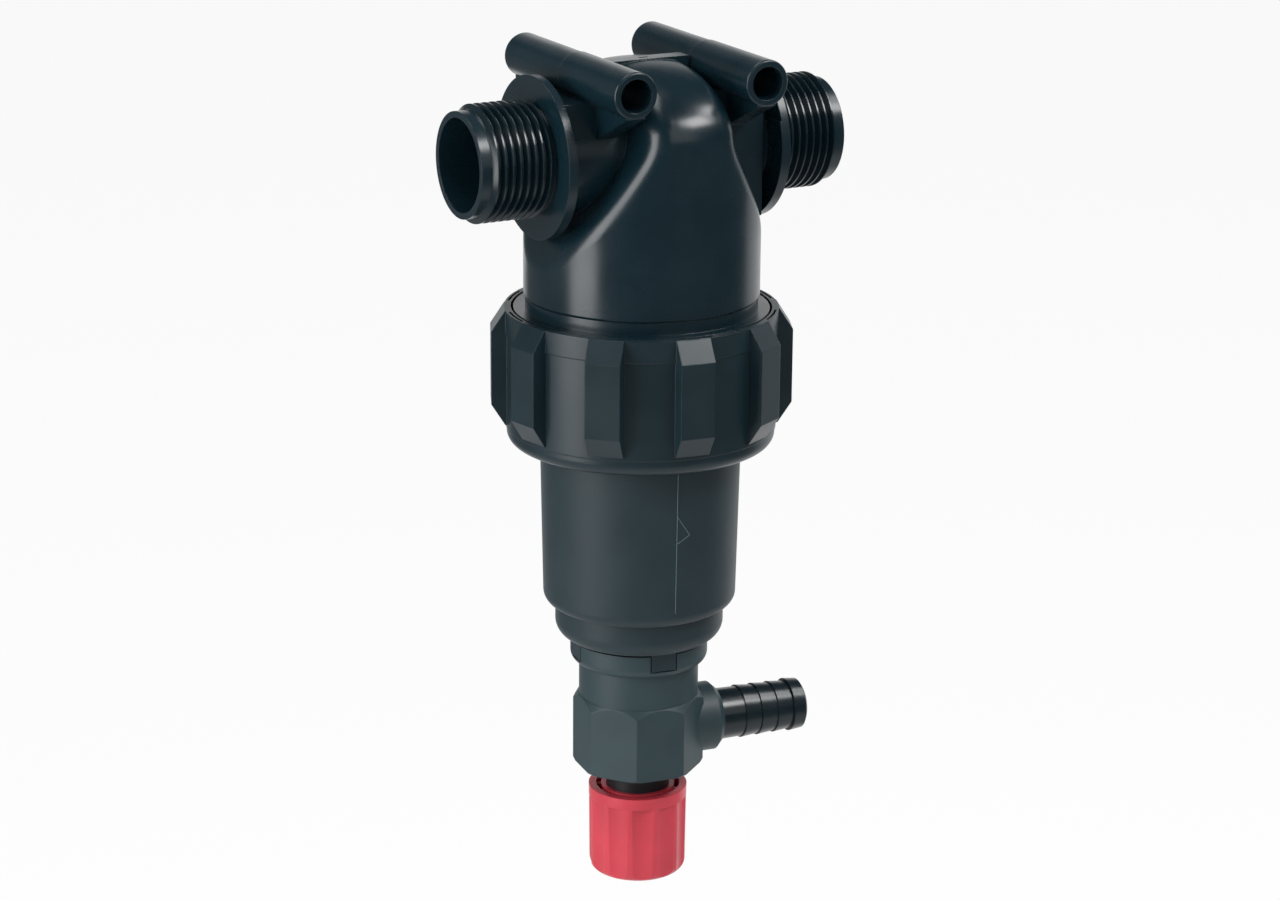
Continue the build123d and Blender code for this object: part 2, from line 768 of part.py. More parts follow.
def valve_bonnet():
    """Bonnet screwed into the valve body, with the long spigot that the knob turns on."""
    bonnet = disc(bonnet_plug_diameter, octagon_low, bonnet_top_z)
    bonnet += disc(bonnet_diameter, bonnet_low_z, octagon_low)
    bonnet -= disc(stem_diameter + 2 * running_gap, bonnet_low_z - past, bonnet_top_z + past)
    groove_width = bonnet_ring_section + 2 * groove_margin
    bonnet -= ring_groove(bonnet_plug_diameter, bonnet_ring_section + seal_gap, groove_width, bonnet_ring_z)
    stem_ring_outer = stem_diameter + 2 * stem_ring_section + 4 * seal_gap
    half = stem_ring_section / 2 + groove_margin
    bonnet -= disc(stem_ring_outer, stem_ring_z - half, stem_ring_z + half)
    return bonnet


def bonnet_o_ring():
    middle = bonnet_plug_diameter - bonnet_ring_section - seal_gap / 2
    return torus_ring(middle, bonnet_ring_section - seal_gap, bonnet_ring_z)


def stem_o_ring():
    middle = stem_diameter + stem_ring_section + 2 * seal_gap
    return torus_ring(middle, stem_ring_section, stem_ring_z)


def valve_stem():
    """Stem with the disc that backs the seal, and a slim end on which the knob swivels."""
    disc_top = valve_seat_z - seat_gap - seal_thickness - seat_gap
    stem = disc(plug_diameter, disc_top - plug_thickness, disc_top)
    stem += disc(stem_diameter, knob_floor_top + seat_gap, disc_top)
    stem += disc(stem_pin_diameter, knob_recess_z - seat_gap, knob_floor_top + past)
    stem -= disc(plug_screw_diameter + 2 * seal_gap, disc_top - plug_screw_length, disc_top + past)
    low = knob_recess_z - seat_gap
    stem -= disc(screw_diameter + 2 * seal_gap, low - past, low + screw_length)
    return stem


def plug_seal():
    high = valve_seat_z - seat_gap
    return ring(plug_diameter, plug_screw_diameter + 2 * seal_gap, high - seal_thickness, high)


def plug_screw():
    """Screw that holds the seal on the stem, its head inside the valve seat."""
    low = valve_seat_z
    head = disc(plug_screw_head, low, low + plug_screw_head_height)
    return head + disc(plug_screw_diameter, low - plug_screw_reach, low)


def knob():
    """Fluted knob with an inner sleeve, stiffening ribs and a recess for its screw."""
    top_r = knob_diameter / 2
    low_r = knob_low_diameter / 2
    shell = turned([(0, knob_bottom_z), (low_r, knob_bottom_z), (top_r, knob_top_z), (0, knob_top_z)])
    bottom = [e for e in shell.edges() if abs(e.center().Z - knob_bottom_z) < near]
    shell = fillet(bottom, knob_round)
    flute_height = knob_top_z - knob_band - knob_bottom_z + past
    flute_middle = low_r - knob_flute_depth + knob_flute_radius
    flute = Pos(flute_middle, 0, knob_bottom_z - past + flute_height / 2)
    flute *= Cylinder(knob_flute_radius, flute_height)
    flute_step = 360 / knob_flute_count
    for k in range(knob_flute_count):
        shell -= turn_about_z(flute, flute_step * (k + 0.5) - 90)
    sleeve_r = bonnet_diameter / 2 + running_gap + knob_sleeve_wall
    pocket = ring(2 * (low_r - knob_wall), 2 * sleeve_r, knob_floor_top, knob_top_z + past)
    rib_top = knob_top_z - knob_rib_drop
    rib = Box(low_r, knob_rib_width, rib_top - knob_floor_top)
    rib = Pos(sleeve_r - past + low_r / 2, 0, (rib_top + knob_floor_top) / 2) * rib
    for k in range(knob_rib_count):
        pocket -= turn_about_z(rib, 360 / knob_rib_count * k)
    shell -= pocket
    shell -= disc(bonnet_diameter + 2 * running_gap, knob_floor_top, knob_top_z + past)
    shell -= disc(stem_pin_diameter + 2 * running_gap, knob_bottom_z - past, knob_floor_top + past)
    shell -= disc(knob_recess_diameter, knob_bottom_z - past, knob_recess_z)
    return turn_about_z(shell, group_clock)


def knob_washer():
    high = knob_recess_z - 2 * seat_gap
    return ring(washer_diameter, screw_diameter + 2 * seal_gap, high - washer_thickness, high)


def knob_screw():
    """Pan-head screw under the knob, driven up into the stem."""
    high = knob_recess_z - 3 * seat_gap - washer_thickness
    screw = disc(screw_head_diameter, high - screw_head_height, high)
    rim = [e for e in screw.edges() if abs(e.center().Z - high + screw_head_height) < near]
    screw = fillet(rim, screw_head_round)
    screw += disc(screw_diameter, high - screw_head_height / 2, high + screw_length)
    cross = Box(screw_cross_share * screw_head_diameter, screw_cross_width, 2 * screw_cross_depth)
    cross += Rot(0, 0, 90) * cross
    return screw - Pos(0, 0, high - screw_head_height) * cross


pieces = {
    "ring_nut": ring_nut,
    "bowl": bowl,
    "bowl_o_ring": bowl_o_ring,
    "cartridge_frame": cartridge_frame,
    "cartridge_mesh": cartridge_mesh,
    "cartridge_top_gasket": cartridge_top_gasket,
    "cartridge_bottom_gasket": cartridge_bottom_gasket,
    "valve_body": valve_body,
    "valve_body_o_ring": valve_body_o_ring,
    "valve_lock_nut": valve_lock_nut,
    "hose_tail": hose_tail,
    "hose_tail_o_ring": hose_tail_o_ring,
    "valve_bonnet": valve_bonnet,
    "bonnet_o_ring": bonnet_o_ring,
    "valve_stem": valve_stem,
    "stem_o_ring": stem_o_ring,
    "plug_seal": plug_seal,
    "plug_screw": plug_screw,
    "knob": knob,
    "knob_washer": knob_washer,
    "knob_screw": knob_screw,
}

os.makedirs("parts", exist_ok=True)
for name, shape in head_nodes().items():
    export_step(shape, f"parts/{name}.step")
for name, make in pieces.items():
    export_step(make(), f"parts/{name}.step")
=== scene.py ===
import math

import bpy
from mathutils import Matrix, Vector


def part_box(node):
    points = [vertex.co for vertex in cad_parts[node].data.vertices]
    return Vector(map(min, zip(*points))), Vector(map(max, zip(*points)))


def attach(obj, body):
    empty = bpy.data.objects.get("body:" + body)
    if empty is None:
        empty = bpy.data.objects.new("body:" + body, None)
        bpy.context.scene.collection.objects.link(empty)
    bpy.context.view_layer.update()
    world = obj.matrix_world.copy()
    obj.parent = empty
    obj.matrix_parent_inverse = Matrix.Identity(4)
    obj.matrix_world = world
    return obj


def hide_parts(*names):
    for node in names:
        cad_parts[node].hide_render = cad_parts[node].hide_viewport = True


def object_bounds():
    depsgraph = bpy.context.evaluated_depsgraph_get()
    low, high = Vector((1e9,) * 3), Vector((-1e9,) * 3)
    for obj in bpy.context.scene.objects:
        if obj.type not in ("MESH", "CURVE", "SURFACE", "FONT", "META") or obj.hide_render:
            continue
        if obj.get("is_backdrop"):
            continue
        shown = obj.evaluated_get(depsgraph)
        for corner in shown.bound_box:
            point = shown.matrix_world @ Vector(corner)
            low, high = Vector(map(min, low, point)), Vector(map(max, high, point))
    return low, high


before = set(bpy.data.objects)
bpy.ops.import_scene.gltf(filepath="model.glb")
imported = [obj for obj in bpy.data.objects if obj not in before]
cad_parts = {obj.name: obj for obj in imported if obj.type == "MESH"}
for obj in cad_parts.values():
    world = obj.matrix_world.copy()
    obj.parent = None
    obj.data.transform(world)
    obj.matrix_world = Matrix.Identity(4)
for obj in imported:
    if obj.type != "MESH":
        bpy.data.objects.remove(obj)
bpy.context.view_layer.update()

MM = 0.001

# The head moulding's nodes, and the levels of the flat faces where they meet
HEAD_NODES = [
    "filter_head", "head_skirt", "inlet_port", "outlet_duct", "outlet_port",
    "left_bolt_tube", "right_bolt_tube"]
SKIRT_CUT_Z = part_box("head_skirt")[1].z
PORT_CUT_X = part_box("outlet_port")[0].x
DUCT_CUT_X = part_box("outlet_duct")[0].x
TUBE_LOW, TUBE_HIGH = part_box("right_bolt_tube")
PIPE_Z = (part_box("inlet_port")[0].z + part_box("inlet_port")[1].z) / 2
ON_PLANE = 0.002 * MM
ON_CYLINDER = 0.01 * MM
WELD = 0.004 * MM

# Pipe thread on both ports, 11 turns to the inch
THREAD_RADIUS = 16.625 * MM
THREAD_DEPTH = 1.48 * MM
THREAD_PITCH = 2.309 * MM
THREAD_TURNS = 7.6
THREAD_START = 36.5 * MM
THREAD_BASE = 2.06 * MM
THREAD_BITE = 0.1 * MM
THREAD_CREST = 0.42 * MM
THREAD_TAPER_TURNS = 0.35
THREAD_STEPS = 96
THREAD_SECTION_TURN = math.radians(90)
THREAD_EDGE_ANGLE = math.radians(35)

# Mould line down the bowl: how far the clamped parts are turned, and radius and height at its ends
GROUP_TURN = math.radians(-6.6)
BOWL_LINE_TOP = (29.21 * MM, -110.5 * MM)
BOWL_LINE_LOW = (28.2 * MM, -153.2 * MM)
LINE_RADIUS = 0.12 * MM
LINE_SIDES = 8
# Corners of the small open triangle beside that line: share of the way down, degrees round
MARK_CORNERS = [(0.31, 0.0), (0.45, 8.0), (0.5, 0.8), (0.5, 0.0)]

# Plastics: size of the clouds in their gloss, and how far gloss and tint sway in them
CLOUD_SIZE = 14 * MM
CLOUD_RANGE = (0.3, 0.7)
GLOSS_SWAY = 0.035
TINT_SWAY = 0.1
PLASTIC_IOR = 1.53
EDGE_SAMPLES = 6
# Turned steel: the rings that the tool leaves
TOOL_MARK_PITCH = 0.3 * MM
TOOL_MARK_DEPTH = 0.004 * MM


def linear(hex_colour):
    """sRGB hex text to the linear colour that a shader takes."""
    parts = [int(hex_colour[i:i + 2], 16) / 255 for i in (1, 3, 5)]
    out = [p / 12.92 if p <= 0.04045 else ((p + 0.055) / 1.055) ** 2.4 for p in parts]
    return (*out, 1.0)


def add(tree, kind, links=None, **settings):
    """Adds a node; links maps its input to a socket or to a plain value."""
    node = tree.nodes.new(kind)
    for name, value in settings.items():
        setattr(node, name, value)
    for key, value in (links or {}).items():
        if isinstance(value, bpy.types.NodeSocket):
            tree.links.new(value, node.inputs[key])
        else:
            node.inputs[key].default_value = value
    return node


def new_material(name):
    """An empty node material with its tree."""
    material = bpy.data.materials.new(name)
    material.use_nodes = True
    material.node_tree.nodes.clear()
    return material, material.node_tree


def cloudy(tree, cloud, middle, sway):
    """A value that sways with the clouds around its middle."""
    return add(tree, "ShaderNodeMapRange", {
        "Value": cloud.outputs["Fac"], "From Min": CLOUD_RANGE[0], "From Max": CLOUD_RANGE[1],
        "To Min": middle - sway, "To Max": middle + sway})


def moulded(name, colour, roughness, grain_mm, grain_depth_mm, edge_mm, specular=0.5, extra=None):
    """Injection-moulded plastic: cloudy gloss, mould grain, and softened edges that catch light.

    extra maps further inputs of the shader to plain values.
    """
    material, tree = new_material(name)
    place = add(tree, "ShaderNodeTexCoord").outputs["Object"]
    cloud = add(tree, "ShaderNodeTexNoise", {"Vector": place, "Scale": 1 / CLOUD_SIZE, "Detail": 3.0})
    grain = add(tree, "ShaderNodeTexNoise", {"Vector": place, "Scale": 1 / (grain_mm * MM), "Detail": 2.0})
    rough = cloudy(tree, cloud, roughness, GLOSS_SWAY)
    shade = cloudy(tree, cloud, 1.0, TINT_SWAY)
    tint = add(tree, "ShaderNodeMix", {
        "Factor": 1.0, "A": linear(colour), "B": shade.outputs["Result"]},
        data_type="RGBA", blend_type="MULTIPLY")
    edge = add(tree, "ShaderNodeBevel", {"Radius": edge_mm * MM}, samples=EDGE_SAMPLES)
    bump = add(tree, "ShaderNodeBump", {
        "Height": grain.outputs["Fac"], "Distance": grain_depth_mm * MM,
        "Strength": 1.0, "Normal": edge.outputs["Normal"]})
    shader = add(tree, "ShaderNodeBsdfPrincipled", {
        "Base Color": tint.outputs["Result"], "Roughness": rough.outputs["Result"],
        "Normal": bump.outputs["Normal"], "IOR": PLASTIC_IOR, "Specular IOR Level": specular})
    for key, value in (extra or {}).items():
        shader.inputs[key].default_value = value
    add(tree, "ShaderNodeOutputMaterial", {"Surface": shader.outputs["BSDF"]})
    return material


def turned_steel():
    """Stainless steel, turned: bright, with fine tool marks in rings."""
    material, tree = new_material("stainless_steel_turned")
    place = add(tree, "ShaderNodeTexCoord").outputs["Object"]
    scale = 1 / (2 * math.pi * TOOL_MARK_PITCH)
    rings = add(tree, "ShaderNodeTexWave", {"Vector": place, "Scale": scale},
                wave_type="RINGS", rings_direction="Z")
    bump = add(tree, "ShaderNodeBump", {
        "Height": rings.outputs["Fac"], "Distance": TOOL_MARK_DEPTH, "Strength": 0.5})
    shader = add(tree, "ShaderNodeBsdfPrincipled", {
        "Base Color": linear("#b9bcbd"), "Metallic": 1.0, "Roughness": 0.3,
        "Normal": bump.outputs["Normal"]})
    add(tree, "ShaderNodeOutputMaterial", {"Surface": shader.outputs["BSDF"]})
    return material


# Glass-filled nylon from a polished mould: nearly black slate blue, with a clear soft sheen.
head_nylon = moulded("glass_nylon_polished_mould", "#0c2129", 0.27, 0.9, 0.0025, 0.3)
# The same nylon on the pipe threads, with painted shade: a darker colour than the head's stands in for the
# shade in the thread's deep valleys, and the crests stay sharp between dark flanks.
thread_nylon_painted_shade = moulded("glass_nylon_polished_thread_painted_shade", "#091b22", 0.2, 0.9, 0.001, 0.06)
# The same nylon from a satin mould, as on the ring nut: darker between broad reflections.
nut_nylon = moulded("glass_nylon_satin_mould", "#12262d", 0.36, 0.6, 0.006, 0.4)
# The same nylon from a spark-eroded mould, as on the bowl: matt, with a fine even grain.
bowl_nylon = moulded("glass_nylon_sparked_mould", "#162b32", 0.52, 0.45, 0.014, 0.25,
                     extra={"Sheen Weight": 0.1, "Sheen Roughness": 0.35})
# The bowl's raised mould lines, with a painted highlight: coloured lighter than the matt wall around them,
# for the light that the thin ridges catch.
line_nylon_painted_highlight = moulded("glass_nylon_line_painted_highlight", "#4c6169", 0.4, 0.6, 0.002, 0.05)
# Acetal-like grey-green of the valve mouldings: matt and a little lighter.
valve_acetal = moulded("acetal_sparked_mould", "#263a40", 0.48, 0.45, 0.012, 0.35)
# Polypropylene hose tail from a polished mould: glossy, with sharp highlights.
tail_polypropylene = moulded("polypropylene_polished_mould", "#0e1d23", 0.26, 0.9, 0.002, 0.15)
# Red polyamide knob: satin, and a little light passes into its thin walls.
knob_polyamide = moulded("red_polyamide_moulded", "#bc3846", 0.33, 0.7, 0.004, 0.25, 0.45, extra={
    "Subsurface Weight": 0.3, "Subsurface Radius": (1.0, 0.25, 0.2), "Subsurface Scale": 1.5 * MM})
# Black polypropylene of the inner mouldings: plain and dull.
inner_polypropylene = moulded("polypropylene_inner_moulding", "#1c1f22", 0.5, 0.6, 0.01, 0.2, 0.4)
# Nitrile rubber seals: deep matt black.
seal_rubber = moulded("nitrile_rubber_moulded", "#0f1011", 0.6, 0.4, 0.006, 0.1, 0.3)
steel = turned_steel()

NODE_FINISH = {
    "ring_nut": nut_nylon,
    "bowl": bowl_nylon,
    "valve_body": valve_acetal,
    "valve_bonnet": inner_polypropylene,
    "hose_tail": tail_polypropylene,
    "knob": knob_polyamide,
    "cartridge_frame": inner_polypropylene,
    "valve_lock_nut": inner_polypropylene,
    "valve_stem": inner_polypropylene,
    "cartridge_mesh": steel,
    "plug_screw": steel,
    "knob_screw": steel,
    "knob_washer": steel,
    "bowl_o_ring": seal_rubber,
    "cartridge_top_gasket": seal_rubber,
    "cartridge_bottom_gasket": seal_rubber,
    "valve_body_o_ring": seal_rubber,
    "hose_tail_o_ring": seal_rubber,
    "bonnet_o_ring": seal_rubber,
    "stem_o_ring": seal_rubber,
    "plug_seal": seal_rubber,
}
NODE_FINISH.update({name: head_nylon for name in HEAD_NODES})

for node_name, finish in NODE_FINISH.items():
    node_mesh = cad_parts[node_name].data
    node_mesh.materials.clear()
    node_mesh.materials.append(finish)


def on_cut_face(corners):
    """True for a face on one of the flat faces where two nodes of the head meet."""
    if all(abs(c.z - SKIRT_CUT_Z) < ON_PLANE for c in corners):
        return True
    if all(abs(abs(c.x) - PORT_CUT_X) < ON_PLANE for c in corners):
        return True
    if all(abs(c.x - DUCT_CUT_X) < ON_PLANE for c in corners):
        return True
    beside = all(TUBE_LOW.x - ON_PLANE < abs(c.x) < TUBE_HIGH.x + ON_PLANE for c in corners)
    if beside and all(abs(c.z - TUBE_LOW.z) < ON_PLANE for c in corners):
        return True
    above = all(c.z > TUBE_LOW.z - ON_PLANE for c in corners)
    sides = (TUBE_LOW.x, TUBE_HIGH.x)
    return above and any(all(abs(abs(c.x) - side) < ON_PLANE for c in corners) for side in sides)


def to_thread_root(corner):
    """Moves a point on the plain cylinder under a thread in to the root of the thread."""
    out = Vector((0, corner.y, corner.z - PIPE_Z))
    if abs(corner.x) < PORT_CUT_X or abs(out.length - THREAD_RADIUS) > ON_CYLINDER:
        return corner.copy()
    out *= (THREAD_RADIUS - THREAD_DEPTH) / THREAD_RADIUS
    return Vector((corner.x, out.y, PIPE_Z + out.z))


def head_shell():
    """The head's nodes as one mesh, its doubles merged and the faces between nodes left out."""
    index_of = {}
    points = []
    faces = []
    normals = []
    for name in HEAD_NODES:
        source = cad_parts[name].data
        for face in source.polygons:
            corners = [source.vertices[i].co for i in face.vertices]
            if on_cut_face(corners):
                continue
            loop = []
            for corner in corners:
                key = tuple(round(value / WELD) for value in corner)
                if key not in index_of:
                    index_of[key] = len(points)
                    points.append(to_thread_root(corner))
                loop.append(index_of[key])
            if len(set(loop)) == len(loop):
                faces.append(loop)
                normals.extend(source.corner_normals[i].vector.copy() for i in face.loop_indices)
    mesh = bpy.data.meshes.new("head_moulding")
    mesh.from_pydata(points, [], faces)
    mesh.polygons.foreach_set("use_smooth", [True] * len(faces))
    mesh.normals_split_custom_set(normals)
    mesh.materials.append(head_nylon)
    return mesh


def group_input(tree, name, kind):
    """A named input of a geometry tree; returns its identifier."""
    return tree.interface.new_socket(name=name, in_out="INPUT", socket_type=kind).identifier


def plain_mesh(tree, values, name):
    """Runs a geometry tree on an empty mesh and returns the result as a plain mesh."""
    carrier = bpy.data.objects.new(name, bpy.data.meshes.new(name))
    bpy.context.collection.objects.link(carrier)
    modifier = carrier.modifiers.new(name, "NODES")
    modifier.node_group = tree
    for identifier, value in values.items():
        modifier[identifier] = value
    graph = bpy.context.evaluated_depsgraph_get()
    mesh = bpy.data.meshes.new_from_object(carrier.evaluated_get(graph), depsgraph=graph)
    bpy.data.objects.remove(carrier)
    return mesh


def thread_tree():
    """Geometry tree of one screw thread: a tapered helix that carries a trapezoid."""
    tree = bpy.data.node_groups.new("pipe_thread", "GeometryNodeTree")
    names = ["Root radius", "Pitch", "Turns", "Depth", "Base width", "Crest width", "Taper turns"]
    identifiers = {name: group_input(tree, name, "NodeSocketFloat") for name in names}
    identifiers["Steps"] = group_input(tree, "Steps", "NodeSocketInt")
    tree.interface.new_socket(name="Geometry", in_out="OUTPUT", socket_type="NodeSocketGeometry")
    inputs = add(tree, "NodeGroupInput").outputs
    height = add(tree, "ShaderNodeMath", {0: inputs["Pitch"], 1: inputs["Turns"]}, operation="MULTIPLY")
    helix = add(tree, "GeometryNodeCurveSpiral", {
        "Resolution": inputs["Steps"], "Rotations": inputs["Turns"], "Start Radius": inputs["Root radius"],
        "End Radius": inputs["Root radius"], "Height": height.outputs[0]})
    part = add(tree, "GeometryNodeSplineParameter").outputs["Factor"]
    rest = add(tree, "ShaderNodeMath", {0: 1.0, 1: part}, operation="SUBTRACT")
    nearer = add(tree, "ShaderNodeMath", {0: part, 1: rest.outputs[0]}, operation="MINIMUM")
    turns = add(tree, "ShaderNodeMath", {0: nearer.outputs[0], 1: inputs["Turns"]}, operation="MULTIPLY")
    taper = add(tree, "ShaderNodeMath", {0: turns.outputs[0], 1: inputs["Taper turns"]},
                operation="DIVIDE", use_clamp=True)
    upright = add(tree, "GeometryNodeSetCurveNormal", {"Curve": helix.outputs[0]}, mode="Z_UP")
    sized = add(tree, "GeometryNodeSetCurveRadius", {
        "Curve": upright.outputs[0], "Radius": taper.outputs[0]})
    section = add(tree, "GeometryNodeCurvePrimitiveQuadrilateral", {
        "Height": inputs["Depth"], "Bottom Width": inputs["Base width"],
        "Top Width": inputs["Crest width"], "Offset": 0.0}, mode="TRAPEZOID")
    half = add(tree, "ShaderNodeMath", {0: inputs["Depth"], 1: 0.5}, operation="MULTIPLY")
    lift = add(tree, "ShaderNodeCombineXYZ", {"Y": half.outputs[0]})
    raised = add(tree, "GeometryNodeTransform", {
        "Geometry": section.outputs[0], "Translation": lift.outputs[0]})
    turned = add(tree, "GeometryNodeTransform", {
        "Geometry": raised.outputs[0], "Rotation": (0, 0, THREAD_SECTION_TURN)})
    ridge = add(tree, "GeometryNodeCurveToMesh", {
        "Curve": sized.outputs[0], "Profile Curve": turned.outputs[0], "Fill Caps": True})
    real = add(tree, "GeometryNodeRealizeInstances", {"Geometry": ridge.outputs[0]})
    # The thread's material is darker than the head's: painted shade for its valleys.
    done = add(tree, "GeometryNodeSetMaterial", {"Geometry": real.outputs[0], "Material": thread_nylon_painted_shade})
    add(tree, "NodeGroupOutput", {0: done.outputs[0]})
    return tree, identifiers


def thread_meshes():
    """Both ports' threads: one right-hand thread, turned to lie along each port."""
    tree, identifiers = thread_tree()
    depth = THREAD_DEPTH + THREAD_BITE
    sizes = {
        "Root radius": THREAD_RADIUS - depth, "Pitch": THREAD_PITCH, "Turns": THREAD_TURNS, "Depth": depth,
        "Base width": THREAD_BASE, "Crest width": THREAD_CREST,
        "Taper turns": THREAD_TAPER_TURNS, "Steps": THREAD_STEPS}
    values = {identifiers[name]: value for name, value in sizes.items()}
    meshes = []
    for side in (-1, 1):
        mesh = plain_mesh(tree, values, "port_thread")
        mesh.shade_smooth()
        mesh.set_sharp_from_angle(angle=THREAD_EDGE_ANGLE)
        to_port = Matrix.Translation((side * THREAD_START, 0, PIPE_Z))
        mesh.transform(to_port @ Matrix.Rotation(side * math.pi / 2, 4, "Y"))
        meshes.append(mesh)
    return meshes


def joined(name, meshes):
    """One object from several meshes, each of which keeps its own normals."""
    parts = []
    for mesh in meshes:
        part = bpy.data.objects.new(name, mesh)
        bpy.context.collection.objects.link(part)
        parts.append(part)
    with bpy.context.temp_override(active_object=parts[0], selected_editable_objects=parts):
        bpy.ops.object.join()
    return parts[0]


def head_moulding():
    """The whole head in one piece, with the threads that the plain solids leave out."""
    head = joined("head_moulding", [head_shell(), *thread_meshes()])
    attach(head, "head")
    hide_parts(*HEAD_NODES)


def line_tree():
    """Geometry tree of a fine raised mould line between two points."""
    tree = bpy.data.node_groups.new("moulding_line", "GeometryNodeTree")
    identifiers = {name: group_input(tree, name, "NodeSocketVector") for name in ("Start", "End")}
    identifiers["Radius"] = group_input(tree, "Radius", "NodeSocketFloat")
    tree.interface.new_socket(name="Geometry", in_out="OUTPUT", socket_type="NodeSocketGeometry")
    inputs = add(tree, "NodeGroupInput").outputs
    line = add(tree, "GeometryNodeCurvePrimitiveLine", {"Start": inputs["Start"], "End": inputs["End"]})
    circle = add(tree, "GeometryNodeCurvePrimitiveCircle", {
        "Resolution": LINE_SIDES, "Radius": inputs["Radius"]})
    tube = add(tree, "GeometryNodeCurveToMesh", {
        "Curve": line.outputs[0], "Profile Curve": circle.outputs[0], "Fill Caps": True})
    real = add(tree, "GeometryNodeRealizeInstances", {"Geometry": tube.outputs[0]})
    # The lines' material is lighter than the bowl's: a painted highlight on the thin ridges.
    done = add(tree, "GeometryNodeSetMaterial", {"Geometry": real.outputs[0], "Material": line_nylon_painted_highlight})
    add(tree, "NodeGroupOutput", {0: done.outputs[0]})
    return tree, identifiers


def on_bowl(down, turn_degrees=0.0):
    """A point on the bowl's outside, a share of the way down its mould line and round from it."""
    radius = BOWL_LINE_TOP[0] + (BOWL_LINE_LOW[0] - BOWL_LINE_TOP[0]) * down
    height = BOWL_LINE_TOP[1] + (BOWL_LINE_LOW[1] - BOWL_LINE_TOP[1]) * down
    angle = GROUP_TURN + math.radians(turn_degrees)
    return Vector((radius * math.sin(angle), -radius * math.cos(angle), height))


def bowl_lines():
    """Raised mould lines at the front and back of the bowl, and a small open triangle."""
    tree, identifiers = line_tree()
    ends = [(on_bowl(0), on_bowl(1)), (on_bowl(0, 180), on_bowl(1, 180))]
    corners = [on_bowl(*corner) for corner in MARK_CORNERS]
    ends += list(zip(corners, corners[1:]))
    meshes = []
    for start, end in ends:
        values = {identifiers["Start"]: start, identifiers["End"]: end, identifiers["Radius"]: LINE_RADIUS}
        meshes.append(plain_mesh(tree, values, "moulding_line"))
    lines = joined("bowl_parting_lines", meshes)
    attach(lines, "bowl")


head_moulding()
bowl_lines()


CAMERA_AZIMUTH = 28.33
CAMERA_ELEVATION = 17.23
CAMERA_ROLL = 0.466
CAMERA_PLACE = Vector((-456.08, -845.79, 185.77)) * MM
LENS_MM = 97.4
SENSOR_MM = 36.0
CAMERA_NEAR = 0.05
CAMERA_FAR = 20


def place_camera():
    """The photograph's view, from the front left and a little above."""
    azimuth, elevation = math.radians(CAMERA_AZIMUTH), math.radians(CAMERA_ELEVATION)
    back = Vector((
        -math.sin(azimuth) * math.cos(elevation),
        -math.cos(azimuth) * math.cos(elevation),
        math.sin(elevation)))
    right = Vector((math.cos(azimuth), -math.sin(azimuth), 0))
    up = back.cross(right)
    roll = math.radians(CAMERA_ROLL)
    right, up = (right * math.cos(roll) + up * math.sin(roll),
                 up * math.cos(roll) - right * math.sin(roll))
    data = bpy.data.cameras.new("photo_camera")
    data.lens = LENS_MM
    data.sensor_width = SENSOR_MM
    data.clip_start = CAMERA_NEAR
    data.clip_end = CAMERA_FAR
    camera = bpy.data.objects.new("photo_camera", data)
    bpy.context.collection.objects.link(camera)
    camera.matrix_world = Matrix((
        (right.x, up.x, back.x, CAMERA_PLACE.x),
        (right.y, up.y, back.y, CAMERA_PLACE.y),
        (right.z, up.z, back.z, CAMERA_PLACE.z),
        (0, 0, 0, 1)))
    bpy.context.scene.camera = camera


place_camera()


# The floor lies well below the knob's lowest place, because the filter hangs by its bolt tubes
FLOOR_GAP = 250 * MM
# Reflections show a white wall behind the filter, a faint one at the back left, and pale paper below.
# Each wall is its direction in degrees from +Y towards +X, the cosines where it fades, and its shade.
WALLS = [(43, (0.62, 0.8), 1.0), (-38, (0.8, 0.95), 0.15)]
# The walls fade between these heights, given as the sine of the angle above the horizon
WALL_TOP = (0.25, 0.5)
ROOM_SHADE = 0.035
# The paper fades between these distances from the body axis, in metres
PAPER_REACH = (0.4, 0.9)
PAPER_SHADE = 0.6
PAPER_WHITE = (0.8, 0.8, 0.8, 1)
PAPER_GLOW_SHARE = 0.9
FLOOR_SIZE = 12
FILL_LIGHT = 0.55


def ramp(tree, value, edges, low, high):
    """Smooth change from one value to another between two edges."""
    return add(tree, "ShaderNodeMapRange", {
        "Value": value, "From Min": edges[0], "From Max": edges[1], "To Min": low, "To Max": high},
        interpolation_type="SMOOTHSTEP").outputs[0]


def wall_shade(tree, outward):
    """Brightness of the wall that lies in a direction, or the room's own."""
    flat = add(tree, "ShaderNodeVectorMath", {0: outward, 1: (1, 1, 0)}, operation="MULTIPLY")
    unit = add(tree, "ShaderNodeVectorMath", {0: flat.outputs[0]}, operation="NORMALIZE")
    shade = ROOM_SHADE
    for turn, edges, brightness in WALLS:
        ahead = (math.sin(math.radians(turn)), math.cos(math.radians(turn)), 0)
        along = add(tree, "ShaderNodeVectorMath", {0: unit.outputs[0], 1: ahead}, operation="DOT_PRODUCT")
        wall = ramp(tree, along.outputs["Value"], edges, 0.0, brightness)
        shade = add(tree, "ShaderNodeMath", {0: wall, 1: shade}, operation="MAXIMUM").outputs[0]
    return shade


def seen_strength(tree, reflected):
    """White to the camera and through clear pieces, and the given brightness to reflections."""
    path = add(tree, "ShaderNodeLightPath").outputs
    glossy = add(tree, "ShaderNodeMath", {0: reflected, 1: path["Is Glossy Ray"]}, operation="MULTIPLY")
    clear = add(tree, "ShaderNodeMath", {0: path["Is Camera Ray"], 1: path["Is Transmission Ray"]},
                operation="MAXIMUM")
    return add(tree, "ShaderNodeMath", {0: clear.outputs[0], 1: glossy.outputs[0]},
               operation="MAXIMUM").outputs[0], path


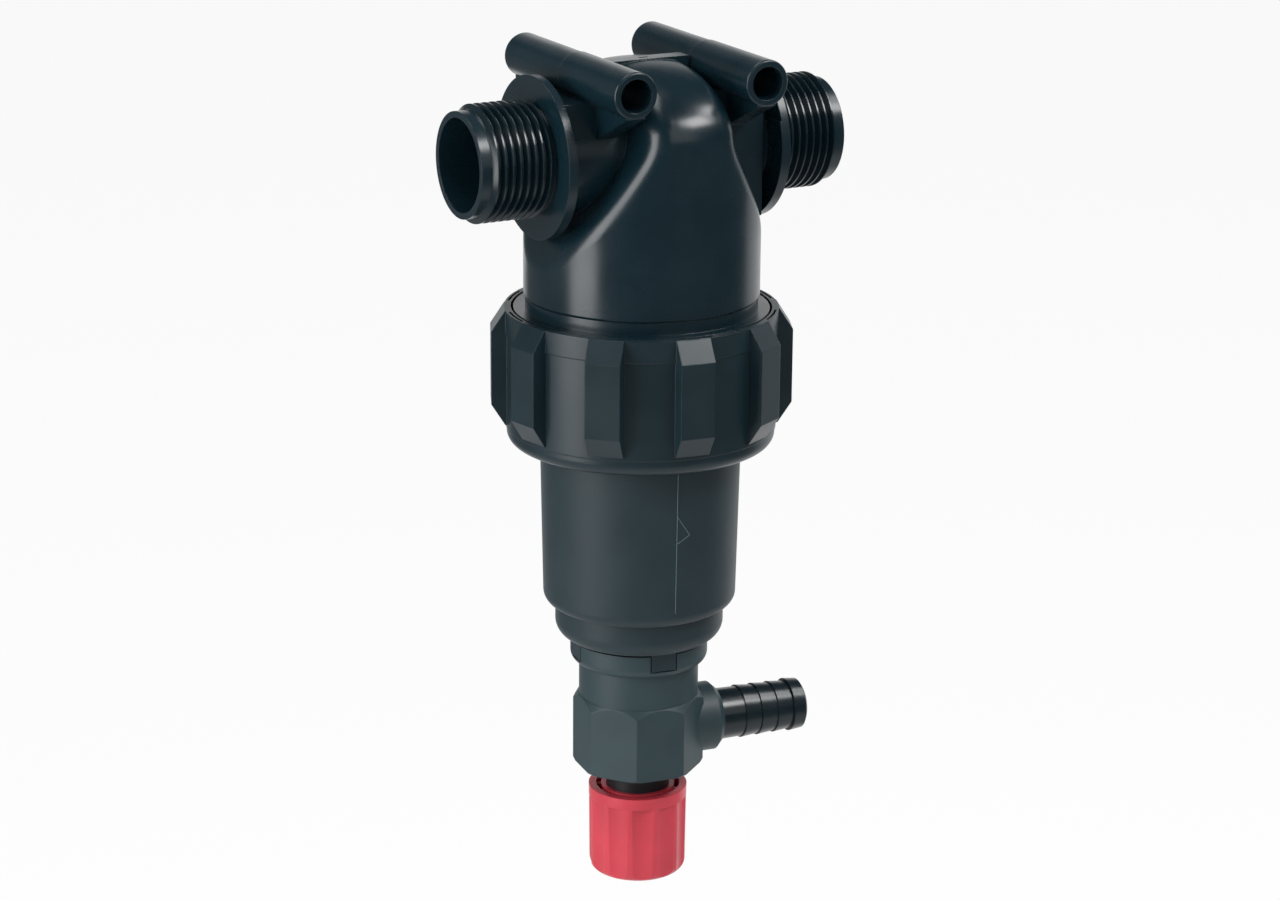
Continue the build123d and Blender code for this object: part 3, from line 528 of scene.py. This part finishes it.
def studio_floor():
    """Wide pale floor, white to the camera apart from the object's shadow."""
    material, tree = new_material("white_paper_matt")
    place = add(tree, "ShaderNodeNewGeometry").outputs["Position"]
    level = add(tree, "ShaderNodeVectorMath", {0: place, 1: (1, 1, 0)}, operation="MULTIPLY")
    away = add(tree, "ShaderNodeVectorMath", {0: level.outputs[0]}, operation="LENGTH")
    near = ramp(tree, away.outputs["Value"], PAPER_REACH, PAPER_SHADE, 0.0)
    reflected = add(tree, "ShaderNodeMath", {0: wall_shade(tree, place), 1: near}, operation="MAXIMUM")
    strength, path = seen_strength(tree, reflected.outputs[0])
    paper = add(tree, "ShaderNodeBsdfDiffuse", {"Color": PAPER_WHITE})
    glow = add(tree, "ShaderNodeEmission", {"Color": (1, 1, 1, 1), "Strength": strength})
    seen = add(tree, "ShaderNodeMath", {0: path["Is Camera Ray"], 1: path["Is Glossy Ray"]},
               operation="MAXIMUM")
    seen = add(tree, "ShaderNodeMath", {0: seen.outputs[0], 1: path["Is Transmission Ray"]},
               operation="MAXIMUM")
    share = add(tree, "ShaderNodeMath", {0: seen.outputs[0], 1: PAPER_GLOW_SHARE}, operation="MULTIPLY")
    mixed = add(tree, "ShaderNodeMixShader", {
        0: share.outputs[0], 1: paper.outputs["BSDF"], 2: glow.outputs["Emission"]})
    add(tree, "ShaderNodeOutputMaterial", {"Surface": mixed.outputs["Shader"]})
    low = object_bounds()[0].z - FLOOR_GAP
    bpy.ops.mesh.primitive_plane_add(size=FLOOR_SIZE, location=(0, 0, low))
    floor = bpy.context.object
    floor.name = "studio_floor"
    floor.data.materials.append(material)
    floor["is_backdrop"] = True


def world_light():
    """White surround for the camera, a low backdrop for reflections, and a soft fill."""
    world = bpy.data.worlds.new("studio_surround")
    bpy.context.scene.world = world
    world.use_nodes = True
    tree = world.node_tree
    tree.nodes.clear()
    direction = add(tree, "ShaderNodeTexCoord").outputs["Generated"]
    rise = add(tree, "ShaderNodeSeparateXYZ", {"Vector": direction}).outputs["Z"]
    low = ramp(tree, rise, WALL_TOP, 1.0, ROOM_SHADE)
    backdrop = add(tree, "ShaderNodeMath", {0: wall_shade(tree, direction), 1: low}, operation="MULTIPLY")
    seen, path = seen_strength(tree, backdrop.outputs[0])
    fill = add(tree, "ShaderNodeMath", {0: path["Is Diffuse Ray"], 1: FILL_LIGHT}, operation="MULTIPLY")
    strength = add(tree, "ShaderNodeMath", {0: seen, 1: fill.outputs[0]}, operation="MAXIMUM")
    back = add(tree, "ShaderNodeBackground", {"Color": (1, 1, 1, 1), "Strength": strength.outputs[0]})
    add(tree, "ShaderNodeOutputWorld", {"Surface": back.outputs["Background"]})


def area_light(name, place, aim, size, power):
    """A soft box at a place, turned to what it lights."""
    data = bpy.data.lights.new(name, "AREA")
    data.shape = "RECTANGLE"
    data.size, data.size_y = size
    data.energy = power
    lamp = bpy.data.objects.new(name, data)
    bpy.context.collection.objects.link(lamp)
    lamp.location = place
    lamp.rotation_mode = "QUATERNION"
    lamp.rotation_quaternion = (Vector(aim) - Vector(place)).to_track_quat("-Z", "Y")


studio_floor()
world_light()
middle = (0, 0, -100 * MM)
area_light("left_box", (-0.95, -0.08, 0.1), middle, (0.5, 1.0), 8.5)
area_light("right_box", (0.78, -0.2, 0.85), middle, (0.32, 0.32), 3)
area_light("top_box", (-0.15, 0.25, 0.95), middle, (0.7, 0.45), 4)
area_light("front_box", (0.54, -0.66, 0.84), middle, (0.5, 0.35), 7)
area_light("front_fill", (0.15, -1.3, 0.5), middle, (0.9, 0.9), 2)

bpy.context.scene.view_settings.view_transform = "Standard"
